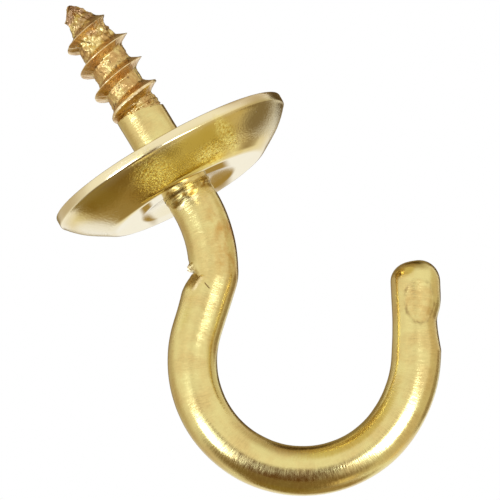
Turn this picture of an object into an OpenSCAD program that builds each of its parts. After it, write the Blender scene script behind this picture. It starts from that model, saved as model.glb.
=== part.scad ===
// Cup hook: a bent brass wire with a wood-screw end, and a stamped cup collar staked on its shank.
// The origin is the middle of the collar's back face, +Z runs up the screw towards its point, and
// the bowl lies in the XZ plane and opens towards +X.

/* [Wire] */
// Diameter of the wire
wire_d = 2.9; // [2.4:0.1:3.2]
// Straight neck, from the level of the collar's back down to the first bend
neck_len = 3.1; // [3.1:0.1:5]
// Radius of the neck's gentle bend
lean_r = 8; // [6:0.1:12]
// Lean of the wire after that bend
lean_angle = 28.5; // [20:0.5:34]
// Straight run between the gentle bend and the sharp one
kink_lead = 0.3; // [0.2:0.1:2]
// Inside radius of the sharp, creased bend
kink_in_r = 0.25; // [0.1:0.05:1]
// Extra lean taken in the sharp bend
kink_angle = 20; // [10:0.5:26]
// Straight run from the sharp bend to the bowl
drop_len = 2.9; // [2:0.1:5]

/* [Bowl] */
// Inside diameter of the bowl
bowl_in_d = 10.1; // [8:0.1:14]
// Straight lip, from the bowl's curve to its end
lip_len = 5.7; // [5.2:0.1:8]
// Angle between the lip and the screw's axis
lip_angle = 30.5; // [10:0.5:40]
// Radius round the edge of the lip's end
lip_round = 1.2; // [0.3:0.05:1.4]

/* [Screw] */
// Height of the thread's first crest above the collar's back face
thread_start = 2.65; // [2.4:0.05:4]
// Length of the screw from that crest to its point
screw_len = 8.15; // [7:0.05:12]
// Distance from one turn to the next
pitch = 1.65; // [1.3:0.05:1.9]
// Diameter over the crest
major_d = 3.65; // [3.5:0.05:4]
// Diameter of the core between the turns
root_d = 2.4; // [1.8:0.05:2.4]
// Width of a turn where it leaves the core
ridge_w = 0.8; // [0.6:0.05:1]
// Width of the sharp crest
crest_w = 0.07; // [0.05:0.01:0.15]
// Length of the tapering point
point_len = 3.7; // [2:0.05:4]
// Length over which the turns fade out towards the point
fade_len = 2.4; // [1:0.1:3]
// How far the point stands off the screw's axis
point_offset = 0.28; // [0:0.02:0.4]
// Plain shank above the level of the first crest, where the thread runs out
runout_h = 0.35; // [0.2:0.05:0.6]
// Slant of the shank's end there
runout_slant = 8; // [0:1:12]

/* [Collar] */
// Diameter of the rim
collar_d = 15; // [13:0.5:18]
// Height of the collar
collar_h = 2.5; // [2:0.1:2.8]
// Diameter of the flat front face
face_d = 9.9; // [7:0.1:11]
// Height of the straight band round the rim
rim_h = 0.55; // [0.3:0.05:0.8]
// Width of the flat seat round the back, which bears on the wood
seat_w = 0.55; // [0.3:0.05:1]
// Thickness of the front wall round the wire
face_t = 0.7; // [0.5:0.05:1]
// Radius of the rounding between the flank and the front face
face_round = 0.35; // [0.1:0.05:0.6]
// Gap between the wire and the collar's hole, on the radius
collar_fit = 0.03; // [0.03:0.01:0.1]
// The collar sits this much off square on the wire, low towards +X
collar_tilt = 1.9; // [0:0.1:3]

/* [Marks] */
// Number of ears raised on the wire under the collar
ear_count = 8; // [2:1:8]
// How far round from the +X side the first ear is
ear_turn = 5; // [2:1:20]
// How far each ear stands out from the wire
ear_out = 0.3; // [0.15:0.05:0.5]
// Width of each ear
ear_w = 0.6; // [0.4:0.05:0.8]
// Height of each ear
ear_h = 0.22; // [0.15:0.01:0.3]
// Depth of the gouge below each ear
gouge_depth = 0.22; // [0.1:0.02:0.4]
// Depth of the crease in the sharp bend
crease_depth = 0.5; // [0.1:0.05:0.6]
// How far the shoulder below the crease swells out of the wire
shoulder_out = 0.12; // [0.08:0.02:0.4]
// Depth of the flat that the bending tool left on the lip's side
flat_depth = 0.14; // [0.05:0.01:0.2]
// Length of that flat
flat_len = 2.5; // [1.5:0.1:3]
// Distance from the middle of that flat to the lip's end
flat_from_end = 2.5; // [2:0.1:3]
// Depth of the hollow on the lip's outer side
nick_depth = 0.23; // [0.05:0.01:0.4]
// Length of that hollow
nick_len = 2.8; // [1:0.1:3]
// Distance from the middle of that hollow to the lip's end
nick_from_end = 3.9; // [3:0.1:4.5]

/* [Hidden] */
$fn = 64;
wire_brass = "#d2bd6c";
collar_brass = "#b89a45";
wire_r = wire_d / 2;
kink_r = wire_r + kink_in_r;
bowl_r = wire_r + bowl_in_d / 2;
bowl_sweep = lean_angle + kink_angle + 180 - lip_angle;
end_round = min(lip_round, wire_r - 0.1);
// A bend is drawn down this much thinner than the straight wire, whose ends lap over it
bend_d = wire_d - 0.02;
lap = 0.05;

// ---- screw --------------------------------------------------------------------------------
// The screw is one skin swept along a helix. Each section climbs from the foot of a turn over its
// crest and down to the core again, and a band joins it to the section one turn further on.
columns = 32;
point_z = thread_start + screw_len;
taper_z = point_z - point_len;
cap_h = 0.35;
// Turns over which the ridge rises out of the shank
runout_turns = 0.9;
// Height of each point of a section from the middle of its crest, and its rise, from 0 to 1
section = [
    [-ridge_w / 2, 0], [-ridge_w / 5, 0.25], [-crest_w / 2, 1],
    [crest_w / 2, 1], [ridge_w / 5, 0.25], [ridge_w / 2, 0]
];
first_g = -columns;
last_g = ceil((screw_len / pitch + 1) * columns);

function clamp01(x) = min(max(x, 0), 1);
function smooth(x) = let (t = clamp01(x)) t * t * (3 - 2 * t);
// Heights above the point's cap are pressed into the cap, so that the last turn closes it
function pressed(z) = let (over = z - point_z + cap_h)
    over < 0 ? z : point_z - cap_h * exp(-over / cap_h);
function taper(z) = clamp01((z - taper_z) / point_len);
function core_r(z) = root_d / 2 * pow(1.0005 - pow(taper(z), 2), 0.75);
function ridge_h(turn) = (major_d - root_d) / 2 * smooth(turn / runout_turns)
    * clamp01((point_z - thread_start - pitch * turn) / fade_len);
function skin_point(g, part) = let (
        turn = g / columns,
        z = pressed(thread_start + pitch * turn + part[0]),
        r = core_r(z) + ridge_h(turn) * part[1]
    ) [r * cos(360 * turn) - point_offset * pow(taper(z), 2), r * sin(360 * turn), z];

module screw() {
    k = len(section);
    last_s = last_g - first_g;
    skin = [for (g = [first_g:last_g], part = section) skin_point(g, part)];
    // Number of point p of section s, two triangles of a quad, and a fan that closes a loop
    function at(s, p) = s * k + p;
    function quad(a, b, c, d) = [[a, b, c], [a, c, d]];
    function fan(loop, hub) = [for (i = [0:len(loop) - 1]) [loop[(i + 1) % len(loop)], loop[i], hub]];
    ridge = [for (s = [0:last_s - 1], p = [0:k - 2])
        each quad(at(s, p), at(s, p + 1), at(s + 1, p + 1), at(s + 1, p))];
    band = [for (s = [0:last_s - 1 - columns], up = s + columns)
        each quad(at(s, k - 1), at(up, 0), at(up + 1, 0), at(s + 1, k - 1))];
    low_loop = [for (p = [0:k - 1]) at(0, p), for (s = [columns:-1:1]) at(s, 0)];
    high_loop = [for (p = [k - 1:-1:0]) at(last_s, p), for (s = [last_s - columns:last_s - 1]) at(s, k - 1)];
    hubs = [[0, 0, thread_start - pitch / 2], [-point_offset, 0, point_z]];
    polyhedron(
        concat(skin, hubs),
        concat(ridge, band, fan(low_loop, len(skin)), fan(high_loop, len(skin) + 1))
    );
}

// Plain shank from the collar up to the run-out of the thread, cut off at a slant
module shank() {
    intersection() {
        cylinder(d = wire_d, h = thread_start + 2 * runout_h);
        translate([0, 0, thread_start + runout_h]) rotate([0, 180 + runout_slant, 0])
            cylinder(r = wire_d, h = thread_start + wire_d);
    }
}

// ---- crook --------------------------------------------------------------------------------
// Straight run of wire along +Z, with what follows placed at its end
module run(length) {
    translate([0, 0, -lap]) cylinder(d = wire_d, h = length + 2 * lap);
    translate([0, 0, length]) children();
}

// Place at the end of a bend towards -X, or towards +X where side is -1
module after_bend(angle, radius, side = 1) {
    middle = [-side * radius, 0, 0];
    translate(middle) rotate([0, -side * angle, 0]) translate(-middle) children();
}

// Bend of the wire, with what follows placed at its end
module bend(angle, radius, side = 1) {
    translate([-side * radius, 0, 0]) rotate([90, 0, side > 0 ? 0 : 180])
        rotate_extrude(angle = angle, $fn = 160) translate([radius, 0]) circle(d = bend_d);
    after_bend(angle, radius, side) children();
}

// End of the wire: a rod whose edge is rounded, revolved about the wire's axis
module rounded_end(length) {
    translate([0, 0, -lap]) cylinder(d = wire_d, h = length / 2);
    rotate_extrude() {
        square([wire_r, length - end_round]);
        square([wire_r - end_round, length]);
        translate([wire_r - end_round, length - end_round]) intersection() {
            circle(r = end_round);
            square(end_round);
        }
    }
}

// Everything below the collar, drawn along +Z from the neck to the lip's end
module crook() {
    shoulder_at = 0.9;
    run(neck_len) bend(lean_angle, lean_r) run(kink_lead) bend(kink_angle, kink_r) {
        translate([-shoulder_out, 0, shoulder_at]) sphere(r = wire_r + 0.02);
        run(drop_len) bend(bowl_sweep, bowl_r, -1) rounded_end(lip_len);
    }
}

// Cylinder across the wire, which leaves a hollow of this depth and length on its +X side
module across(depth, length) {
    r = pow(length, 2) / (8 * depth) + depth / 2;
    translate([wire_r - depth + r, 0, 0]) rotate([90, 0, 0])
        cylinder(r = r, h = wire_d + 1, center = true, $fn = 128);
}

// V-shaped cut across the wire, on its -X side
module crease() {
    clear = 1;
    rotate([90, 0, 0]) linear_extrude(wire_d + clear, center = true) polygon([
        [crease_depth - wire_r, 0], [-wire_r - clear, 0.6 * clear], [-wire_r - clear, -0.9 * clear]
    ]);
}

// What the tools cut away from the crook, placed along the same path
module crook_marks() {
    crease_shift = 0.15;
    translate([0, 0, neck_len]) after_bend(lean_angle, lean_r)
    translate([0, 0, kink_lead]) after_bend(kink_angle / 2, kink_r) {
        translate([0, 0, crease_shift]) crease();
        after_bend(kink_angle / 2, kink_r) translate([0, 0, drop_len])
        after_bend(bowl_sweep, bowl_r, -1) translate([0, 0, lip_len]) {
            translate([0, 0, -flat_from_end]) rotate([0, 0, 90]) across(flat_depth, flat_len);
            translate([0, 0, -nick_from_end]) rotate([0, 0, 180]) across(nick_depth, nick_len);
        }
    }
}

// ---- staking ------------------------------------------------------------------------------
// The collar's own place: square to its rim, turned about the middle of its hole
module on_collar() {
    hole_z = face_t / 2 - collar_h;
    translate([0, 0, hole_z]) rotate([0, collar_tilt, 0]) translate([0, 0, -hole_z]) children();
}

// Each place round the wire, just under the collar, where the staking tool bit
module round_wire() {
    for (i = [0:ear_count - 1]) on_collar()
        rotate([0, 0, ear_turn + 360 * i / ear_count]) translate([wire_r, 0, -collar_h]) children();
}

module ears() {
    root = 0.3;
    round_wire() translate([-root, -ear_w / 2, -ear_h]) cube([root + ear_out, ear_w, ear_h]);
}

module gouges() {
    side = gouge_depth * sqrt(2);
    round_wire() translate([0, 0, -ear_h - gouge_depth]) rotate([0, 45, 0])
        cube([side, 1.3 * ear_w, side], center = true);
}

module hook() {
    color(wire_brass) difference() {
        union() {
            shank();
            screw();
            rotate([180, 0, 0]) crook();
            ears();
        }
        gouges();
        rotate([180, 0, 0]) crook_marks();
    }
}

// ---- collar -------------------------------------------------------------------------------
module collar() {
    rim_r = collar_d / 2;
    hole_r = wire_r + collar_fit;
    flank_run = (collar_d - face_d) / 2 / (collar_h - rim_h);
    cavity_h = collar_h - face_t;
    cavity_r = rim_r - seat_w;
    // Rounding where the flank meets the front face
    flank_angle = atan(1 / flank_run);
    steps = 4;
    edge = [for (a = [0:flank_angle / steps:flank_angle]) [
        face_d / 2 + face_round * (sin(a) - tan(flank_angle / 2)), face_round * (1 - cos(a)) - collar_h
    ]];
    color(collar_brass) on_collar() rotate_extrude($fn = 160) polygon(concat(
        [[hole_r, -collar_h]],
        edge,
        [
            [rim_r, -rim_h], [rim_r, 0], [cavity_r, 0],
            [cavity_r - cavity_h * flank_run, -cavity_h], [hole_r, -cavity_h]
        ]
    ));
}

hook();
collar();
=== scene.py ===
import math

import bpy
import numpy as np
from mathutils import Matrix, Vector, noise


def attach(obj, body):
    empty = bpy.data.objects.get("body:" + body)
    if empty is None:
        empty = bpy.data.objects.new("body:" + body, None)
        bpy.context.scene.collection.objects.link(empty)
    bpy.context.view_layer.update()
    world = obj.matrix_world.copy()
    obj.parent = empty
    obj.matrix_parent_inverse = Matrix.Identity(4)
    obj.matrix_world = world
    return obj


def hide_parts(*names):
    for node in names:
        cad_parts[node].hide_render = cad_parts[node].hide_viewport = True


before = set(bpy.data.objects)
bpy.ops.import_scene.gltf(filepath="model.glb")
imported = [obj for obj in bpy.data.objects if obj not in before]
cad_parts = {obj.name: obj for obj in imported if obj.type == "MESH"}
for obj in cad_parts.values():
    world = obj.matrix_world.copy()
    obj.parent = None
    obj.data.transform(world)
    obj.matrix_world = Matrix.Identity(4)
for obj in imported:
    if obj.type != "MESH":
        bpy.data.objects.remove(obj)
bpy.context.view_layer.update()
bpy.ops.object.select_all(action="DESELECT")

# ---- wire -------------------------------------------------------------------------------------
# The hook is one length of drawn brass wire, 2.9 mm thick, bent cold round pins: gently at the
# neck, sharply at the crease and then round the bowl. The pins, jaws and punch that worked it left
# the crease, bites under the collar, an oval mark on the lip and a hollow behind that.

# Sizes are in mm and degrees, and MM turns them to the metres that meshes are in
MM = 0.001
ring_points = 128
wire_r = 1.45
shank_top = 3.35
neck_len = 3.1
staked_len = 0.8
lean_deg = 28.5
lean_r = 8
kink_lead = 0.3
kink_deg = 20
kink_r = 1.7
drop_len = 2.9
bowl_deg = 198
bowl_r = 6.5
lip_len = 5.7
end_round = 1.2
end_steps = 14
end = Vector((0, 0, shank_top * MM))
heading = Vector((0, 0, -1))


def run(length, steps):
    """Draws the wire's selected end straight on."""
    global end
    bpy.ops.mesh.extrude_repeat(steps=steps, offset=heading * (length * MM / steps))
    end = end + heading * (length * MM)


def bend(degrees, radius, steps):
    """Draws it round a pin, towards -X where degrees is positive and else towards +X."""
    global end, heading
    centre = end + heading.cross(Vector((0, -1, 0))) * math.copysign(radius * MM, degrees)
    bpy.ops.mesh.spin(steps=steps, angle=-math.radians(degrees), center=centre, axis=(0, 1, 0))
    turn = Matrix.Rotation(math.radians(degrees), 3, "Y")
    end = centre + turn @ (end - centre)
    heading = turn @ heading


bpy.ops.mesh.primitive_circle_add(vertices=ring_points, radius=wire_r * MM, location=end)
wire = bpy.context.object
wire.name = "wire"
bpy.ops.object.transform_apply()
bpy.ops.object.mode_set(mode="EDIT")
run(shank_top + neck_len - staked_len, 60)
run(staked_len, 20)
bend(lean_deg, lean_r, 56)
run(kink_lead, 6)
bend(kink_deg, kink_r, 14)
run(drop_len, 44)
bend(-bowl_deg, bowl_r, 150)
run(lip_len - end_round, 70)
# The last rings crowd together towards the rounded end
for k in range(end_steps):
    start, stop = (math.sin(ring * math.pi / (2 * end_steps)) for ring in (k, k + 1))
    run(end_round * (stop - start), 1)
bpy.ops.object.mode_set(mode="OBJECT")

# The wire in its own terms, in mm and degrees: how far along it each point is from the level of the
# collar's back, and which way the point faces, from 0 on the crease's side through 90 at the front
rings = np.array([v.co for v in wire.data.vertices]).reshape(-1, ring_points, 3) / MM
middle = rings.mean(axis=1, keepdims=True)
spoke = (rings - middle) / wire_r
along = np.cumsum(np.linalg.norm(np.diff(middle, axis=0, prepend=middle[:1]), axis=2), axis=0)
along = np.repeat(along, ring_points, axis=1) - shank_top
facing = np.degrees(2 * np.pi * np.arange(ring_points) / ring_points)[None, :] - 90 + 0 * along
facing = (facing + 180) % 360 - 180
sideways = wire_r * np.cos(np.radians(facing))
forward = wire_r * np.sin(np.radians(facing))
wire_len = along.max()
rod = np.stack([sideways, forward, along], axis=-1)


def bell(x, width):
    """1 where x is 0, and falling to nothing over about twice the width on either side."""
    return np.exp(-((x / width) ** 2))


def ramp(x, low, high):
    """0 up to low and 1 from high on, with a smooth rise between them."""
    t = np.clip((x - low) / (high - low), 0, 1)
    return t * t * (3 - 2 * t)


def grain(points, size, seed=0.0):
    """Smooth noise from -1 to 1 at each point, with lumps of about this size."""
    shift = Vector((seed, 2 * seed, -seed))
    flat = points.reshape(-1, 3) / size
    return np.array([noise.noise(Vector(p) + shift) for p in flat]).reshape(points.shape[:-1])


# How far the skin stands proud of the drawn wire, in mm, and where it carries painted shade or a painted
# highlight
lump = grain(rod, 0.22, 3.0)
height = 0.008 * grain(rod, 1.6) + 0.003 * grain(rod, 0.5, 7.0)
dull_painted_shade = np.zeros_like(along)
rubbed = np.zeros_like(along)

# Crease: both walls run in slowly, the lower one out over the swollen shoulder, and its bottom curves
# down the wire towards the front, where the fold's lower lip stands up
crease_at = 7.66
crease_depth = 0.28
crease_fall = 0.9
shoulder_at = 8.85
shoulder_rise = 0.07
lip_rise = 0.06
from_crease = np.abs(facing)
into = along - (crease_at + crease_fall * (from_crease / 90) ** 1.8) + 0.04 * lump
depth = crease_depth * (1 - ramp(from_crease, 0, 76)) + 0.03 * (1 - ramp(from_crease, 60, 84))
inside = 1 - ramp(from_crease, 0, 80)
above = np.clip(1 + into / (0.4 + 0.75 * inside), 0, 1)
below = np.clip(1 - into / (0.7 + 0.9 * inside), 0, 1)
vee = np.where(into < 0, above ** 1.5, below ** 1.6)
height -= depth * vee
crease_side = np.clip(np.cos(np.radians(facing)), 0, 1)
height += shoulder_rise * bell(along - shoulder_at, 0.75) * crease_side
lip_line = facing - (68 - 10 * (along - 8.0))
height += lip_rise * bell(lip_line, 5) * ramp(along, 7.9, 8.25) * (1 - ramp(along, 8.6, 9.3))
# The flake that the pin raised above the crease
flake = ramp(along, 6.8, 7.15) * (1 - ramp(along, 7.34, 7.46)) * bell(facing - 10, 24)
height += (0.16 + 0.22 * grain(rod, 0.13, 6.0)) * flake
# The crease's bottom is darkened as painted shade, and the lip and the flake are painted pale as a painted
# highlight
dull_painted_shade = np.maximum(dull_painted_shade, 0.35 * bell(into, 0.06) * (1 - ramp(from_crease, 50, 90)))
lip = bell(lip_line, 4.5) * ramp(along, 7.95, 8.2) * (1 - ramp(along, 8.7, 9.1))
rubbed = np.maximum(rubbed, np.maximum(lip * np.clip(0.9 + lump, 0, 1), flake))
# The lower wall is darkened to a deeper gold as painted shade, with a touch of the pale, and left duller
lower_wall = ramp(into, 0.05, 0.2) * (1 - ramp(into, 0.7, 1.1)) * (1 - ramp(from_crease, 55, 75))
rubbed = np.maximum(rubbed, 0.1 * lower_wall)
dull_painted_shade = np.maximum(dull_painted_shade, 0.4 * lower_wall)
# Below the crease the front is darkened and dulled in spots, painted shade that dims the lamp's streak there
spots = bell(facing - 108, 16) * ramp(along, 7.8, 8.8) * (1 - ramp(along, 10, 12.5))
dull_painted_shade = np.maximum(dull_painted_shade, spots * np.clip(0.2 + 0.45 * grain(rod, 0.3, 11.0), 0, 0.45))

# Staking: eight bites of the punch, close under the collar. Each left a hollow with a burr at its
# foot and pressed a low ear against the collar above it. They are not quite alike: each has the way
# it faces, how deep it is, how far its ear stands proud and how dark its painted shade is.
for faces, deep, proud, dark in (
    (-171, 0.9, 0.04, 0.4), (-133, 1, 0.05, 0.5), (-83, 0.8, 0.05, 0.5), (-36, 1, 0.05, 0.6),
    (5, 0.9, 0.02, 0.6), (53, 1.3, 0.015, 1), (97, 1, 0.02, 0.9), (150, 0.9, 0.08, 0.6)
):
    side = (facing - faces + 180) % 360 - 180 + 7 * lump
    foot = 2.74 + 0.24 * deep - 0.2 * (side / 22) ** 2 + 0.05 * lump
    ear = (1 - ramp(along, 2.48, 2.62)) * ramp(along, 2.30, 2.40) * (1 - ramp(np.abs(side), 12, 22))
    hollow = ramp(along, 2.42, 2.62) * (1 - ramp(along, foot - 0.3, foot)) * (1 - ramp(np.abs(side), 14, 25))
    burr = bell(along - foot, 0.06) * bell(side, 13)
    height += proud * ear * (1 + 0.5 * lump) - 0.022 * deep * hollow + 0.007 * burr
    # Painted shade darkens each bite's hollow up to the collar, and a pale painted highlight lies below its
    # burr
    under_collar_shade = ramp(along, 2.2, 2.4) * (1 - ramp(along, foot - 0.12, foot + 0.04))
    under_collar_shade = under_collar_shade * (1 - ramp(np.abs(side), 12, 24)) * np.clip(0.75 + 0.9 * lump, 0, 1)
    dull_painted_shade = np.maximum(dull_painted_shade, under_collar_shade * dark)
    rubbed = np.maximum(rubbed, 0.8 * bell(along - foot - 0.12, 0.12) * bell(side, 10))
# Painted shade lies between the bites too, all over the front under the collar
under_collar_shade = ramp(along, 2.2, 2.4) * (1 - ramp(along, 2.7 + 0.08 * lump, 2.95))
under_collar_shade = under_collar_shade * ramp(facing, 0, 40) * (1 - ramp(facing, 150, 175))
dull_painted_shade = np.maximum(dull_painted_shade, under_collar_shade * np.clip(0.6 + 0.9 * lump, 0, 1))

# Lip: a shallow oval pressed on its front, a hollow behind that on its outer side, a rounded end
from_end = wire_len - along
oval_side = 0.23
oval_up = 2.5
oval_half_w = 0.86
oval_half_h = 1.33
oval_depth = 0.03
hollow_up = 3.55
hollow_len = 1.75
hollow_depth = 0.29
oval = np.hypot((sideways - oval_side) / oval_half_w, (from_end - oval_up) / oval_half_h)
height -= np.where(forward > 0, oval_depth * (1 - ramp(oval, 0.85, 1.05)) * ramp(from_end, 1.2, 2.4), 0)
# The hollow runs out to an edge below its deepest place, and fades above it
below = from_end - hollow_up
hollow = (1 - np.clip(below / hollow_len, 0, 1) ** 1.5) ** 1.1
hollow = np.where(below > 0, hollow, bell(below, 0.78))
height -= hollow_depth * hollow * crease_side ** 1.5
round_in = np.clip(end_round - from_end, 0, None)
height -= end_round - np.sqrt(np.maximum(end_round ** 2 - round_in ** 2, 0))

# The whole limb springs a little outwards there
lean = 0.16 * bell(from_end - 3.6, 2.4) + 0.05 * bell(from_end, 1.5) - 0.05 * bell(from_end - 9, 2)
outwards = spoke[:, np.argmin(np.abs(facing[0]))][:, None]
rings = middle + spoke * (wire_r + height[..., None]) + outwards * lean[..., None]
# The rounded end stands a little higher on its outer side
rings += np.array(heading) * (0.035 * sideways * ramp(along, wire_len - 1.4, wire_len))[..., None]
# The shank's end stands on the slant of the thread that starts there
near_top = 1 - ramp(along, -shank_top, -shank_top + 1.1)
rings[..., 2] -= near_top * (0.33 + 0.15 * rings[..., 0] + 0.05 * lump)
wire.data.vertices.foreach_set("co", (rings * MM).astype(np.float32).ravel())
unbent = wire.data.attributes.new("rod", "FLOAT_VECTOR", "POINT")
unbent.data.foreach_set("vector", rod.astype(np.float32).ravel())
# The painted shade and the pale painted highlight go to the shader with the wire
shade_attr = wire.data.attributes.new("dull_painted_shade", "FLOAT", "POINT")
shade_attr.data.foreach_set("value", dull_painted_shade.astype(np.float32).ravel())
pale_highlight_attr = wire.data.attributes.new("rubbed", "FLOAT", "POINT")
pale_highlight_attr.data.foreach_set("value", rubbed.astype(np.float32).ravel())
wire.data.update()


def close_ends(smooth_deg):
    """Fills the piece's two open ends, and smooths its edges that turn less than this."""
    bpy.ops.object.mode_set(mode="EDIT")
    bpy.ops.mesh.select_all(action="DESELECT")
    bpy.ops.mesh.select_non_manifold()
    bpy.ops.mesh.fill()
    bpy.ops.mesh.select_all(action="SELECT")
    bpy.ops.mesh.normals_make_consistent(inside=False)
    bpy.ops.object.mode_set(mode="OBJECT")
    bpy.ops.object.shade_smooth_by_angle(angle=math.radians(smooth_deg))
    bpy.ops.object.select_all(action="DESELECT")


close_ends(40)


def linear(hex_colour):
    """A colour written in sRGB hex, as the linear numbers that a shader takes."""
    parts = [int(hex_colour[k:k + 2], 16) / 255 for k in (0, 2, 4)]
    return tuple(c / 12.92 if c <= 0.04045 else ((c + 0.055) / 1.055) ** 2.4 for c in parts) + (1,)


def add(tree, kind, settings=None, links=None):
    """Adds a shader node, with settings for its sockets or its own options, and links from others."""
    node = tree.nodes.new("ShaderNode" + kind)
    for name, value in (settings or {}).items():
        if isinstance(name, int) or name in node.inputs:
            node.inputs[name].default_value = value
        else:
            setattr(node, name, value)
    for name, source in (links or {}).items():
        source = source.outputs[0] if isinstance(source, bpy.types.Node) else source
        tree.links.new(source, node.inputs[name])
    return node


# Yellow brass, drawn through a die and handled: a soft shine with fine lines across the wire, which
# break its highlights into dashes, and a warm stain on the neck. Patterns follow the bent wire.
drawn = bpy.data.materials.new("yellow_brass_drawn")
drawn.use_nodes = True
tree = drawn.node_tree
tree.nodes.clear()
where = add(tree, "Attribute", {"attribute_name": "rod"}).outputs["Vector"]
axes = add(tree, "SeparateXYZ", None, {0: where})
# Lines 0.1 mm apart and about 0.4 mm long: really finer, drawn as coarse as they need to show
stretched = add(tree, "Mapping", {"Scale": (2.6, 2.6, 12.0)}, {"Vector": where})
lines = add(tree, "TexNoise", {"Scale": 1.0, "Detail": 3.0}, {"Vector": stretched})
pits = add(tree, "TexNoise", {"Scale": 8.0, "Detail": 3.0, "Roughness": 0.6}, {"Vector": where})
clouds = add(tree, "TexNoise", {"Scale": 0.6, "Detail": 4.0, "Roughness": 0.6}, {"Vector": where})
cloudy = add(tree, "MapRange", {1: 0.38, 2: 0.62}, {0: clouds})
tone = add(tree, "Mix", {"data_type": "RGBA", 6: linear("e3d38b"), 7: linear("dac07b")}, {0: cloudy})
# Handling left it finely mottled and streaked across
speckle = add(tree, "Math", {"operation": "MULTIPLY_ADD", 1: 0.6}, {0: pits, 2: lines})
patchy = add(tree, "MapRange", {1: 0.35, 2: 0.65, 3: 0.01, 4: 0.075}, {0: clouds})
speckle = add(tree, "MapRange", {1: 0.6, 2: 1.0, 3: -1.0, 4: 1.0}, {0: speckle})
speckle = add(tree, "Math", {"operation": "MULTIPLY_ADD", 2: 0.92}, {0: speckle, 1: patchy})
# The die's own streaks run lengthwise, 0.3 mm wide
lengthwise = add(tree, "Mapping", {"Scale": (3.2, 3.2, 0.16)}, {"Vector": where})
streaks = add(tree, "TexNoise", {"Scale": 1.0, "Detail": 3.0, "Roughness": 0.6}, {"Vector": lengthwise})
speckle = add(tree, "Math", {"operation": "MULTIPLY_ADD", 1: 0.16}, {0: streaks, 2: speckle})
tone = add(tree, "VectorMath", {"operation": "SCALE"}, {0: tone.outputs[2], "Scale": speckle})
# The stain lies on the neck's inner side, between the collar and the crease
starts = add(tree, "MapRange", {"interpolation_type": "SMOOTHSTEP", 1: 3.4, 2: 4.9}, {0: axes.outputs[2]})
stops = add(tree, "MapRange", {"interpolation_type": "SMOOTHSTEP", 1: 8.9, 2: 6.8}, {0: axes.outputs[2]})
inward = add(tree, "MapRange", {1: 0.3, 2: -1.1}, {0: axes.outputs[0]})
blots = add(tree, "TexNoise", {"Scale": 1.6, "Detail": 5.0, "Roughness": 0.65}, {"Vector": where})
blotted = add(tree, "MapRange", {1: 0.42, 2: 0.66}, {0: blots})
stain = add(tree, "Math", {"operation": "MULTIPLY"}, {0: starts, 1: stops})
stain = add(tree, "Math", {"operation": "MULTIPLY"}, {0: stain, 1: inward})
stain = add(tree, "Math", {"operation": "MULTIPLY"}, {0: stain, 1: blotted})
tone = add(tree, "Mix", {"data_type": "RGBA", 7: linear("c6964a")}, {0: stain, 6: tone})
# The oval's edge: a thin, scalloped groove on the front of the lip, open at its top
centred = add(tree, "Mapping", {
    "Location": (-oval_side / oval_half_w, 0, -(wire_len - oval_up) / oval_half_h),
    "Scale": (1 / oval_half_w, 0, 1 / oval_half_h)
}, {"Vector": where})
far = add(tree, "VectorMath", {"operation": "LENGTH"}, {0: centred}).outputs["Value"]
wavy = add(tree, "TexNoise", {"Scale": 2.8, "Detail": 3.0}, {"Vector": where})
wander = add(tree, "Math", {"operation": "MULTIPLY_ADD", 1: 0.3, 2: -0.15}, {0: wavy})
edge = add(tree, "Math", {"operation": "ADD"}, {0: far, 1: wander})
edge = add(tree, "Math", {"operation": "SUBTRACT", 1: 1.0}, {0: edge})
edge = add(tree, "Math", {"operation": "ABSOLUTE"}, {0: edge})
edge = add(tree, "MapRange", {"interpolation_type": "SMOOTHSTEP", 1: 0.16, 2: 0.0}, {0: edge})
at_front = add(tree, "MapRange", {1: 0.1, 2: 0.6}, {0: axes.outputs[1]})
low_down = add(tree, "MapRange", {1: wire_len - 1.15, 2: wire_len - 1.5}, {0: axes.outputs[2]})
edge = add(tree, "Math", {"operation": "MULTIPLY"}, {0: edge, 1: at_front})
edge = add(tree, "Math", {"operation": "MULTIPLY"}, {0: edge, 1: low_down})
faint = add(tree, "MapRange", {1: 0.42, 2: 0.6, 3: 0.05, 4: 0.55}, {0: blots})
edge = add(tree, "Math", {"operation": "MULTIPLY"}, {0: edge, 1: faint})
# The brass inside it is a little redder
inner = add(tree, "MapRange", {1: 1.0, 2: 0.9}, {0: far})
inner = add(tree, "Math", {"operation": "MULTIPLY"}, {0: inner, 1: at_front})
inner = add(tree, "Math", {"operation": "MULTIPLY"}, {
    0: inner, 1: add(tree, "MapRange", {1: 0.38, 2: 0.6, 3: 0.03, 4: 0.3}, {0: wavy})
})
tone = add(tree, "Mix", {"data_type": "RGBA", 7: linear("cc9e56")}, {0: inner, 6: tone.outputs[2]})
# The crack that the fold tore on the front, half a millimetre long
torn = add(tree, "Mapping", {"Rotation": (0, math.radians(-33), 0), "Scale": (1, 0, 1)}, {
    "Vector": add(tree, "VectorMath", {"operation": "SUBTRACT", 1: (0.06, 0, 8.48)}, {0: where})
})
tear_axes = add(tree, "SeparateXYZ", None, {0: torn})
tear_far = add(tree, "Math", {"operation": "MULTIPLY_ADD", 1: 0.12}, {0: wander, 2: tear_axes.outputs[2]})
tear_far = add(tree, "Math", {"operation": "ABSOLUTE"}, {0: tear_far})
tear = add(tree, "MapRange", {"interpolation_type": "SMOOTHSTEP", 1: 0.055, 2: 0.015}, {0: tear_far})
tear_end = add(tree, "Math", {"operation": "ABSOLUTE"}, {0: tear_axes.outputs[0]})
tear_end = add(tree, "MapRange", {1: 0.27, 2: 0.16}, {0: tear_end})
tear = add(tree, "Math", {"operation": "MULTIPLY"}, {0: tear, 1: tear_end})
tear = add(tree, "Math", {"operation": "MULTIPLY"}, {0: tear, 1: at_front})
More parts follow.
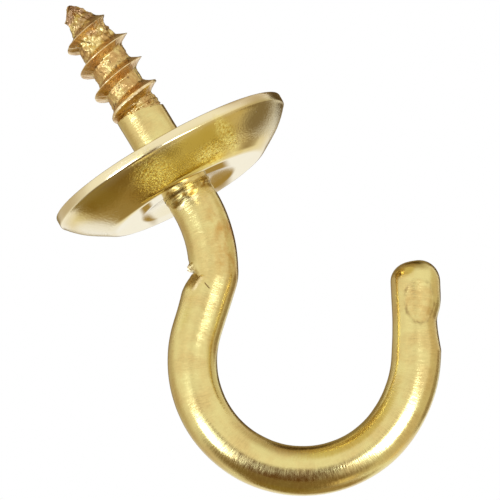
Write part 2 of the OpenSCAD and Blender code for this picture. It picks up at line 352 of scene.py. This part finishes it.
# Brownish painted shade, then the pale painted highlight of rubbed places, then the dark oval line and crack
in_shade = add(tree, "Attribute", {"attribute_name": "dull_painted_shade"}).outputs["Fac"]
in_pale_highlight = add(tree, "Attribute", {"attribute_name": "rubbed"}).outputs["Fac"]
marks = add(tree, "Math", {"operation": "MAXIMUM"}, {0: edge, 1: tear})
tone = add(tree, "Mix", {"data_type": "RGBA", 7: linear("a47e34")}, {0: in_shade, 6: tone.outputs[2]})
tone = add(tree, "Mix", {"data_type": "RGBA", 7: linear("f8e4b4")}, {0: in_pale_highlight, 6: tone.outputs[2]})
tone = add(tree, "Mix", {"data_type": "RGBA", 7: linear("7d5c2c")}, {0: marks, 6: tone.outputs[2]})
# The lines leave it softly shiny, and it is duller where it carries painted shade or a painted highlight
matt = add(tree, "MapRange", {1: 0.3, 2: 0.7, 3: 0.14, 4: 0.26}, {0: lines})
matt = add(tree, "Math", {"operation": "MULTIPLY_ADD", 1: 0.3}, {0: in_pale_highlight, 2: matt})
matt = add(tree, "Math", {"operation": "MULTIPLY_ADD", 1: 0.22}, {0: in_shade, 2: matt})
relief = add(tree, "Math", {"operation": "MULTIPLY_ADD", 1: 0.7}, {0: pits, 2: lines})
relief = add(tree, "Math", {"operation": "MULTIPLY_ADD", 1: -1.2}, {0: marks, 2: relief})
raised = add(tree, "Bump", {"Strength": 1.0, "Distance": 0.0055 * MM}, {"Height": relief})
shader = add(tree, "BsdfPrincipled", {"Metallic": 1.0}, {
    "Base Color": tone.outputs[2], "Roughness": matt, "Normal": raised
})
add(tree, "OutputMaterial", None, {"Surface": shader})
wire.data.materials.append(drawn)
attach(wire, "root")
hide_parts("hook")

# ---- screw ------------------------------------------------------------------------------------
# The wood-screw thread rolled and cut on the wire's other end: thin sharp turns on a rough core,
# run out into the shank and faded towards a blunt, ragged point.

pitch = 1.65
thread_start = 2.65
screw_top = 10.8
crest_r = 1.825
core_r = 1.2
point_len = 3.7
point_offset = 0.28
fade_len = 2.4
blunt = 0.35
torn_at = 8.6
rib_gap = 0.3
rows = 36

bpy.ops.mesh.primitive_plane_add(size=MM, location=(core_r * MM, 0, (thread_start - pitch) * MM))
screw = bpy.context.object
screw.name = "screw"
bpy.ops.object.transform_apply()
bpy.ops.object.mode_set(mode="EDIT")
bpy.ops.mesh.merge(type="CENTER")
bpy.ops.mesh.extrude_repeat(steps=rows, offset=(0, 0, pitch * MM / rows))
bpy.ops.object.mode_set(mode="OBJECT")
bpy.ops.object.modifier_add(type="SCREW")
screw.modifiers["Screw"].screw_offset = pitch * MM
screw.modifiers["Screw"].iterations = 6
screw.modifiers["Screw"].steps = 144
screw.modifiers["Screw"].render_steps = 144
bpy.ops.object.modifier_apply(modifier="Screw")
bpy.ops.object.mode_set(mode="EDIT")
bpy.ops.mesh.select_all(action="SELECT")
bpy.ops.mesh.remove_doubles(threshold=0.004 * MM)
bpy.ops.object.mode_set(mode="OBJECT")

# Each point's angle, its turn of the thread, and how far above that turn's crest it is, in mm
skin = np.array([v.co for v in screw.data.vertices]) / MM
angle = np.arctan2(skin[:, 1], skin[:, 0])
turn = (skin[:, 2] - thread_start) / pitch
phase = turn - angle / (2 * np.pi)
off = (phase - np.round(phase)) * pitch
turn_no = turn - (phase - np.round(phase))
# The rows crowd towards the crest, and those past the point's end are pressed together there
half = pitch / 2
off = np.sign(off) * (np.abs(off) / half) ** 1.35 * half
z = turn_no * pitch + thread_start + off
z = np.where(z < screw_top - blunt, z, screw_top - blunt * np.exp(-(z - screw_top + blunt) / blunt))
taper = np.clip((z - (screw_top - point_len)) / point_len, 0, 1)
core = core_r * np.maximum(1.0005 - taper ** 2, 0) ** 0.75
place = np.stack([core_r * np.cos(angle), core_r * np.sin(angle), z], axis=-1)
rough = grain(place, 0.24, 1.0)
fine = grain(place, 0.10, 5.0)
ragged = grain(place, 0.5, 9.0)
# The turns rise out of the shank, and fade out towards the point
tall = (crest_r - core_r) * ramp(turn_no, 0, 0.9)
to_point = screw_top - thread_start - turn_no * pitch
tall = tall * np.clip(to_point / fade_len, 0, 1) * (1 + 0.05 * ragged)
# A turn's section: hollow flanks up to a sharp crest, which is blunter where the first turn starts
land = 0.02 + 0.07 * bell(turn_no - 0.75, 0.35)
gap = np.clip((np.abs(off) - land) / 0.40, 0, 1)
ridge = (1 - gap) ** 1.5
# The rolled core is pitted, most of all on the turn before the point, which is torn
torn_turn = bell(z - torn_at, 0.75)
worn = (0.05 + 0.12 * torn_turn) * rough + (0.02 + 0.05 * torn_turn) * fine
burrs = (0.10 * np.maximum(rough, -0.3) + 0.06 * fine) * ramp(z, 9.2, 10.0)
# Ridges that the roller left between the first turn and the shank
ribbed = bell(z - (3.35 - 0.15 * np.cos(angle)), 0.55) * (1 - ridge)
ribs = 0.035 * np.cos(2 * np.pi * (z - 0.26 * angle / np.pi) / rib_gap) * ribbed
radius = core + tall * ridge * (1 + 0.03 * fine)
radius = radius + (worn + 0.04 * fine * ribbed) * (1 - 0.8 * ridge)
radius = radius + burrs + ribs + 0.12 * ribbed
sideways = radius * np.cos(angle) - point_offset * taper ** 2
point = np.stack([sideways, radius * np.sin(angle), z], axis=-1)
screw.data.vertices.foreach_set("co", (point * MM).astype(np.float32).ravel())
crest = screw.data.attributes.new("crest", "FLOAT", "POINT")
crest.data.foreach_set("value", ridge.astype(np.float32))
screw.data.update()
close_ends(50)

# The same brass, rolled and left unpolished: coppery up the flanks of the turns, bright on the
# crests and where high spots rubbed, pitted all over, with a brownish stain near the torn point.
rolled = bpy.data.materials.new("yellow_brass_rolled_thread")
rolled.use_nodes = True
tree = rolled.node_tree
tree.nodes.clear()
where = add(tree, "TexCoord").outputs["Object"]
on_crest = add(tree, "Attribute", {"attribute_name": "crest"}).outputs["Fac"]
axes = add(tree, "SeparateXYZ", None, {0: where})
# Pits 0.1 to 0.4 mm wide
pits = add(tree, "TexNoise", {"Scale": 2700.0, "Detail": 4.0, "Roughness": 0.55}, {"Vector": where})
clouds = add(tree, "TexNoise", {"Scale": 1500.0, "Detail": 3.0}, {"Vector": where})
cloudy = add(tree, "MapRange", {1: 0.38, 2: 0.62}, {0: clouds})
tone = add(tree, "Mix", {"data_type": "RGBA", 6: linear("e2c982"), 7: linear("c8a062")}, {0: cloudy})
up_flank = add(tree, "MapRange", {1: 0.02, 2: 0.3, 3: 0.0, 4: 0.6}, {0: on_crest})
tone = add(tree, "Mix", {"data_type": "RGBA", 7: linear("dcba8c")}, {0: up_flank, 6: tone.outputs[2]})
# The crests are rubbed, apart from their pits
rubbed = add(tree, "MapRange", {1: 0.80, 2: 0.95}, {0: on_crest})
rubbed = add(tree, "Math", {"operation": "MULTIPLY"}, {
    0: rubbed, 1: add(tree, "MapRange", {1: 0.42, 2: 0.56, 3: 0.25}, {0: pits})
})
tone = add(tree, "Mix", {"data_type": "RGBA", 7: linear("f4deac")}, {0: rubbed, 6: tone.outputs[2]})
# The deepest pits are dark, most of all on the core
sunk = add(tree, "MapRange", {1: 0.40, 2: 0.32}, {0: pits})
on_core = add(tree, "MapRange", {1: 0.25, 2: 0.05, 3: 0.15, 4: 0.85}, {0: on_crest})
sunk = add(tree, "Math", {"operation": "MULTIPLY"}, {0: sunk, 1: on_core})
tone = add(tree, "Mix", {"data_type": "RGBA", 7: linear("6e4a28")}, {0: sunk, 6: tone.outputs[2]})
# The stain runs from the torn turn to the point, in clouds
tip = add(tree, "MapRange", {1: 7.9 * MM, 2: 9.6 * MM}, {0: axes.outputs[2]})
tip = add(tree, "Math", {"operation": "MULTIPLY"}, {0: tip, 1: cloudy})
tone = add(tree, "Mix", {"data_type": "RGBA", 7: linear("b08c66")}, {0: tip, 6: tone.outputs[2]})
matt = add(tree, "MapRange", {1: 0.35, 2: 0.65, 3: 0.45, 4: 0.14}, {0: pits})
raised = add(tree, "Bump", {"Distance": 0.10 * MM}, {"Height": pits, "Strength": on_core})
shader = add(tree, "BsdfPrincipled", {"Metallic": 1.0}, {
    "Base Color": tone.outputs[2], "Roughness": matt, "Normal": raised
})
add(tree, "OutputMaterial", None, {"Surface": shader})
screw.data.materials.append(rolled)
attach(screw, "root")
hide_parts("hook")

# ---- collar -----------------------------------------------------------------------------------
# A cup washer stamped from brass sheet and slid on the wire, which the ears under it hold on. Its
# flank and face took a fine grain from the press, and its rim was trimmed bright. The staking
# dished its face a little round the wire.

tilt_deg = -1.9
step = 0.15
# Half its section: out along the inside to the seat on the wood, round the rim, down the full flank
# and in across the face to the hole
outline = [
    (1.48, -1.8), (4.6, -1.8), (6.9, -0.04), (6.95, 0.0), (7.42, 0.0), (7.48, -0.03), (7.5, -0.08),
    (7.5, -0.48), (7.49, -0.55), (7.45, -0.60), (7.41, -0.62), (7.22, -0.85), (7.02, -1.06),
    (6.81, -1.26), (6.58, -1.45), (6.35, -1.62), (6.11, -1.78), (5.87, -1.93), (5.63, -2.08),
    (5.39, -2.23), (5.18, -2.36), (5.06, -2.42), (4.95, -2.46), (4.8, -2.5), (3.3, -2.5),
    (3.1, -2.49), (1.6, -2.33), (1.48, -2.31)
]
bpy.ops.mesh.primitive_plane_add(size=MM, location=(outline[0][0] * MM, 0, outline[0][1] * MM))
collar = bpy.context.object
collar.name = "collar_cup"
bpy.ops.object.transform_apply()
bpy.ops.object.mode_set(mode="EDIT")
bpy.ops.mesh.merge(type="CENTER")
for (r0, z0), (r1, z1) in zip(outline, outline[1:] + outline[:1]):
    steps = max(1, round(math.hypot(r1 - r0, z1 - z0) / step))
    bpy.ops.mesh.extrude_repeat(steps=steps, offset=((r1 - r0) * MM / steps, 0, (z1 - z0) * MM / steps))
bpy.ops.mesh.select_all(action="SELECT")
bpy.ops.mesh.remove_doubles(threshold=0.002 * MM)
bpy.ops.mesh.spin(steps=288, angle=2 * math.pi, center=(0, 0, 0), axis=(0, 0, 1))
bpy.ops.mesh.select_all(action="SELECT")
bpy.ops.mesh.remove_doubles(threshold=0.002 * MM)
bpy.ops.mesh.normals_make_consistent(inside=False)
bpy.ops.object.mode_set(mode="OBJECT")

# The press left the flank slightly wavy and the trimmed rim slightly uneven
skin = np.array([v.co for v in collar.data.vertices]) / MM
out = np.hypot(skin[:, 0], skin[:, 1])
outer = ramp(out, 4.9, 5.4) * (1 - ramp(skin[:, 2], -0.05, 0.0))
wave = 0.012 * grain(skin, 1.3, 4.0) + 0.005 * grain(skin, 0.45, 6.0)
on_rim = ramp(skin[:, 2], -0.7, -0.55) * ramp(out, 7.2, 7.4)
wave = wave * (1 - 0.5 * on_rim)
skin[:, :2] *= (1 + outer * (wave - 0.01 * on_rim) / out)[:, None]
collar.data.vertices.foreach_set("co", (skin * MM).astype(np.float32).ravel())
collar.data.update()
# It sits a little askew on the wire
bpy.ops.object.mode_set(mode="EDIT")
bpy.ops.mesh.select_all(action="SELECT")
bpy.ops.transform.rotate(value=math.radians(tilt_deg), orient_axis="Y", center_override=(0, 0, -2.15 * MM))
bpy.ops.object.mode_set(mode="OBJECT")
bpy.ops.object.shade_smooth_by_angle(angle=math.radians(30))
bpy.ops.object.select_all(action="DESELECT")

# Yellow brass sheet, stamped: a fine hammered-looking grain on the flank, which breaks what it
# mirrors into specks, a smoother face, a rim that handling has rubbed pale, and painted
# reflections and highlights on the face, the corner and the flank.
stamped = bpy.data.materials.new("yellow_brass_stamped")
stamped.use_nodes = True
tree = stamped.node_tree
tree.nodes.clear()
where = add(tree, "TexCoord").outputs["Object"]
# Grain 0.1 mm wide, from the steel of the die
pressed = add(tree, "TexNoise", {"Scale": 9500.0, "Detail": 2.0}, {"Vector": where})
clouds = add(tree, "TexNoise", {"Scale": 420.0, "Detail": 4.0}, {"Vector": where})
cloudy = add(tree, "MapRange", {1: 0.38, 2: 0.62}, {0: clouds})
tone = add(tree, "Mix", {"data_type": "RGBA", 6: linear("e2cc84"), 7: linear("d9bd6c")}, {0: cloudy})
axes = add(tree, "SeparateXYZ", None, {0: where})
# The rim is rubbed pale, and its grain is worn down
near_rim = add(tree, "MapRange", {1: -0.85 * MM, 2: -0.5 * MM}, {0: axes.outputs[2]})
tone = add(tree, "Mix", {"data_type": "RGBA", 7: linear("efe0b4")}, {0: near_rim, 6: tone.outputs[2]})
on_flank = add(tree, "MapRange", {1: -2.28 * MM, 2: -2.12 * MM, 3: 0.06, 4: 1.0}, {0: axes.outputs[2]})
worn = add(tree, "Math", {"operation": "MULTIPLY_ADD", 1: -0.8, 2: 1.0}, {0: near_rim})
grainy = add(tree, "Math", {"operation": "MULTIPLY"}, {0: on_flank, 1: worn})
# The flat face round the wire is painted pale, a painted reflection, and hardly grainy
flat = add(tree, "VectorMath", {"operation": "MULTIPLY", 1: (1, 1, 0)}, {0: where})
from_wire = add(tree, "VectorMath", {"operation": "LENGTH"}, {0: flat}).outputs["Value"]
flat_face = add(tree, "MapRange", {1: 5.0 * MM, 2: 4.75 * MM, 4: 0.8}, {0: from_wire})
below = add(tree, "MapRange", {1: -2.0 * MM, 2: -2.1 * MM}, {0: axes.outputs[2]})
flat_face = add(tree, "Math", {"operation": "MULTIPLY"}, {0: flat_face, 1: below})
tone = add(tree, "Mix", {"data_type": "RGBA", 7: linear("f1e6c0")}, {0: flat_face, 6: tone.outputs[2]})


def far_from(at, half_size):
    """How far a point is from the middle of an oval patch: 1 where the patch ends."""
    gap = add(tree, "VectorMath", {"operation": "SUBTRACT", 1: tuple(c * MM for c in at)}, {0: where})
    gap = add(tree, "VectorMath", {"operation": "DIVIDE", 1: tuple(c * MM for c in half_size)}, {0: gap})
    return add(tree, "VectorMath", {"operation": "LENGTH"}, {0: gap}).outputs["Value"]


# Painted reflections on the flank: a deeper yellow at the front, pale at its left end, and a duller,
# greyer yellow at its right end, as on the rim there
for at, half_size, most, colour in (
    ((1.1, -6.0, -1.6), (3.4, 2.4, 1.3), 0.75, "c9ae42"),
    ((-5.7, -1.5, -1.9), (2.0, 1.8, 1.2), 0.75, "efe6c8"),
    ((6.0, -3.0, -1.4), (2.2, 3.0, 1.0), 0.75, "b9aa7c"),
    ((5.6, -4.2, -0.2), (2.6, 3.0, 0.5), 0.6, "c9ae80"),
):
    inside = add(tree, "MapRange", {"interpolation_type": "SMOOTHSTEP", 1: 1.2, 2: 0.55, 4: most}, {
        0: far_from(at, half_size)
    })
    tone = add(tree, "Mix", {"data_type": "RGBA", 7: linear(colour)}, {0: inside, 6: tone.outputs[2]})
# The staking rubbed a matt ring round the wire
from_wire = add(tree, "Math", {"operation": "MULTIPLY_ADD", 1: 2 * MM}, {0: clouds, 2: from_wire})
ring = add(tree, "MapRange", {"interpolation_type": "SMOOTHSTEP", 1: 4.3 * MM, 2: 3.3 * MM}, {
    0: from_wire
})
matt = add(tree, "MapRange", {3: 0.06, 4: 0.14}, {0: on_flank})
matt = add(tree, "Math", {"operation": "MULTIPLY_ADD", 1: 0.1}, {0: ring, 2: matt})
# Three painted highlights on the flank's front: bright patches in specks 0.2 mm wide, a little duller
glint_patches = None
specks = add(tree, "TexNoise", {"Scale": 5600.0, "Detail": 4.0, "Roughness": 0.65}, {"Vector": where})
specks = add(tree, "MapRange", {1: 0.36, 2: 0.58}, {0: specks})
bright = add(tree, "Mix", {"data_type": "RGBA", 6: linear("d2ae40"), 7: linear("fff294")}, {0: specks})
for at, half_size in (
    ((-1.25, -6.2, -1.35), (1.15, 2.2, 1.2)),
    ((3.55, -5.3, -1.6), (0.5, 2.0, 1.2)),
    ((2.2, -5.5, -2.1), (0.9, 2.2, 0.5)),
):
    near = far_from(at, half_size)
    near = add(tree, "Math", {"operation": "MULTIPLY_ADD", 1: 0.9}, {0: pressed, 2: near})
    near = add(tree, "MapRange", {"interpolation_type": "SMOOTHSTEP", 1: 1.85, 2: 0.85, 4: 0.85}, {
        0: near
    })
    tone = add(tree, "Mix", {"data_type": "RGBA"}, {0: near, 6: tone.outputs[2], 7: bright.outputs[2]})
    matt = add(tree, "Math", {"operation": "MULTIPLY_ADD", 1: 0.04}, {0: near, 2: matt})
    glint_patches = add(tree, "Math", {"operation": "MAXIMUM"}, {0: near, 1: glint_patches or near})
grainy = add(tree, "Math", {"operation": "MULTIPLY"}, {
    0: grainy, 1: add(tree, "MapRange", {2: 0.5, 3: 0.5}, {0: glint_patches})
})
# A few fine scratches on the flank, and more of them to the right, each about 0.05 mm wide
combed = add(tree, "Mapping", {"Rotation": (0, 0.5, 0.9), "Scale": (900, 5200, 2600)}, {"Vector": where})
nicks = add(tree, "TexNoise", {"Scale": 1.0, "Detail": 2.0}, {"Vector": combed})
nicks = add(tree, "MapRange", {1: 0.70, 2: 0.74}, {0: nicks})
to_right = add(tree, "MapRange", {1: 3.5 * MM, 2: 6 * MM, 3: 0.15}, {0: axes.outputs[0]})
nicks = add(tree, "Math", {"operation": "MULTIPLY"}, {0: nicks, 1: to_right})
nicks = add(tree, "Math", {"operation": "MULTIPLY"}, {0: nicks, 1: on_flank})
tone = add(tree, "Mix", {"data_type": "RGBA", 7: linear("fffaf0")}, {0: nicks, 6: tone.outputs[2]})
matt = add(tree, "Math", {"operation": "MULTIPLY_ADD", 1: 0.5}, {0: nicks, 2: matt})
raised = add(tree, "Bump", {"Distance": 0.028 * MM}, {"Height": pressed, "Strength": grainy})
shader = add(tree, "BsdfPrincipled", {"Metallic": 1.0}, {
    "Base Color": tone.outputs[2], "Roughness": matt, "Normal": raised
})
add(tree, "OutputMaterial", None, {"Surface": shader})
collar.data.materials.append(stamped)
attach(collar, "root")
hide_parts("collar")

# ---- camera -----------------------------------------------------------------------------------
# It looks up a little at the front of the hook, turned so that the screw leans to the upper left,
# from 400 mm away. The view is 29 mm wide there.
elevation, azimuth, roll = math.radians(-8.781), math.radians(-1.16), math.radians(-31.419)
distance = 400
view_w = 29.241476
ahead = Vector((
    -math.sin(azimuth) * math.cos(elevation), math.cos(azimuth) * math.cos(elevation), -math.sin(elevation)
))
level = Vector((math.cos(azimuth), math.sin(azimuth), 0))
upright = level.cross(ahead)
right = level * math.cos(roll) + upright * math.sin(roll)
up = upright * math.cos(roll) - level * math.sin(roll)
target = Vector((1.339, 0, -7.237)) * MM
camera = bpy.data.objects.new("camera", bpy.data.cameras.new("camera"))
bpy.context.scene.collection.objects.link(camera)
aim = Matrix((right, up, -ahead)).transposed().to_4x4()
camera.matrix_world = Matrix.Translation(target - ahead * (distance * MM)) @ aim
camera.data.sensor_width = 36
camera.data.lens = camera.data.sensor_width * distance / view_w
camera.data.clip_start = 0.01
bpy.context.scene.camera = camera

# ---- studio -----------------------------------------------------------------------------------
# A plain white room with a pale floor, and two soft strips of light just below the camera. Brass
# needs something dark to mirror, so soft-edged cloths hang round it, out of the camera's sight.
floor_z = -72
bpy.ops.mesh.primitive_plane_add(size=2, location=(0, 0, floor_z * MM))
floor = bpy.context.object
floor.name = "floor"
# Matt white paper, which the brass doesn't mirror: it has the white room and the cloths for that
paper = bpy.data.materials.new("white_paper")
paper.use_nodes = True
paper.node_tree.nodes["Principled BSDF"].inputs["Base Color"].default_value = linear("f6f6f4")
paper.node_tree.nodes["Principled BSDF"].inputs["Roughness"].default_value = 0.8
floor.data.materials.append(paper)
floor.visible_glossy = False
floor.visible_shadow = False


def facing_hook(out, about, turned, away):
    """The place of a lamp or cloth: degrees out from the camera, about its line of sight from the
    right, and turned on itself, and how far away it is from the hook."""
    out, about = math.radians(out), math.radians(about)
    across = right * math.cos(about) + up * math.sin(about)
    way = across * math.sin(out) - ahead * math.cos(out)
    longways = across * math.cos(out) + ahead * math.sin(out)
    longways = Matrix.Rotation(math.radians(turned), 3, way) @ longways
    stance = Matrix((longways, way.cross(longways), way)).transposed().to_4x4()
    return Matrix.Translation(target + way * (away * MM)) @ stance


# Each lamp's place, its length and width, and how bright its face is, where 1 is white
for name, place, length, width, bright in (
    ("strip_left", facing_hook(37, 203, 8, 350), 238, 94.5, 8.9),
    ("strip_right", facing_hook(31, 335, -5, 350), 252, 108.5, 8.7),
):
    lamp = bpy.data.objects.new(name, bpy.data.lights.new(name, "AREA"))
    bpy.context.scene.collection.objects.link(lamp)
    lamp.data.shape = "RECTANGLE"
    lamp.data.size, lamp.data.size_y = length * MM, width * MM
    lamp.data.energy = bright * math.pi * lamp.data.size * lamp.data.size_y
    lamp.data.color = (0.63, 0.75, 1.0)
    lamp.matrix_world = place

# Each cloth or card: its place, half its length and width, how much of it its soft edge takes, and
# its colour. The last two stand close behind the wire, for the collar's face to mirror.
behind_wire = Matrix.Translation((0, 8 * MM, -3.85 * MM)) @ Matrix.Rotation(math.pi / 2, 4, "X")
behind_right = behind_wire @ Matrix.Translation((1.9 * MM, -0.7 * MM, 0))
behind_left = behind_wire @ Matrix.Translation((-2.6 * MM, -0.5 * MM, 0))
for name, place, half_long, half_wide, soft, colour in (
    ("cloth_behind", facing_hook(158, 112, 0, 300), 216, 360, 0.3, "94835f"),
    ("cloth_above", facing_hook(114, 100, -28, 300), 390, 600, 1.0, "a8926c"),
    ("cloth_left", facing_hook(124, 195, 5, 300), 345, 300, 0.9, "ccc0ac"),
    ("cloth_right", facing_hook(93, 347, -27, 300), 225, 660, 0.5, "e0d7c3"),
    ("cloth_far_right", facing_hook(122, 345, 0, 300), 126, 99, 0.4, "a49478"),
    ("cloth_back_right", facing_hook(153, 24, 0, 300), 120, 108, 0.5, "5c4a2c"),
    ("cloth_dark", facing_hook(124, 93, 0, 300), 150, 138, 0.5, "54401e"),
    ("cloth_top", facing_hook(83, 124, 7, 300), 270, 225, 0.45, "e0d4a4"),
    ("cloth_low", facing_hook(70, 258, 12, 300), 330, 420, 0.65, "897651"),
    ("cloth_beneath", facing_hook(117, 280, 40, 300), 144, 150, 0.5, "a8946c"),
    ("cloth_near", facing_hook(33, 244, 18, 300), 288, 150, 0.47, "6a4a1c"),
    ("cloth_low_left", facing_hook(106, 260, 0, 300), 138, 126, 0.5, "907c48"),
    ("card_line", facing_hook(113, 147, 0, 270), 33, 96, 0.5, "fff6dc"),
    ("card_low", facing_hook(80, 289, 0, 270), 81, 51, 0.8, "fff0c4"),
    ("card_low_right", facing_hook(108, 316, 0, 270), 48, 42, 0.8, "fff0c4"),
    ("card_right", behind_right, 1.26, 1.86, 0.45, "a88a48"),
    ("card_left", behind_left, 0.54, 1.5, 0.7, "a88a48"),
):
    bpy.ops.mesh.primitive_plane_add(size=2)
    cloth = bpy.context.object
    cloth.name = name
    cloth.matrix_world = place @ Matrix.Diagonal((half_long * MM, half_wide * MM, 1, 1))
    # Felt that fades out towards its edge, so that nothing the brass mirrors ends sharply
    felt = bpy.data.materials.new(name)
    felt.use_nodes = True
    tree = felt.node_tree
    tree.nodes.clear()
    inside = add(tree, "TexGradient", {"gradient_type": "SPHERICAL"}, {
        0: add(tree, "TexCoord").outputs["Object"]
    })
    solid = add(tree, "MapRange", {"interpolation_type": "SMOOTHSTEP", 2: soft}, {
        0: inside.outputs["Fac"]
    })
    glow = add(tree, "Emission", {"Color": linear(colour)})
    clear = add(tree, "BsdfTransparent")
    both = add(tree, "MixShader", None, {0: solid, 1: clear, 2: glow})
    add(tree, "OutputMaterial", None, {"Surface": both})
    felt.cycles.emission_sampling = "NONE"
    cloth.data.materials.append(felt)
    cloth.visible_camera = cloth.visible_diffuse = cloth.visible_shadow = False

# The room is white to look at and in the brass, and lights the hook with three quarters of that
world = bpy.data.worlds.new("white_room")
world.use_nodes = True
tree = world.node_tree
tree.nodes.clear()
ray = add(tree, "LightPath")
seen = add(tree, "Math", {"operation": "MAXIMUM"}, {
    0: ray.outputs["Is Camera Ray"], 1: ray.outputs["Is Glossy Ray"]
})
seen = add(tree, "Math", {"operation": "MAXIMUM"}, {0: seen, 1: ray.outputs["Is Transmission Ray"]})
strength = add(tree, "MapRange", {3: 0.75, 4: 1.0}, {0: seen})
sky = add(tree, "Background", {"Color": (1, 1, 1, 1)}, {"Strength": strength})
add(tree, "OutputWorld", None, {"Surface": sky})
bpy.context.scene.world = world
bpy.context.scene.view_settings.view_transform = "Standard"
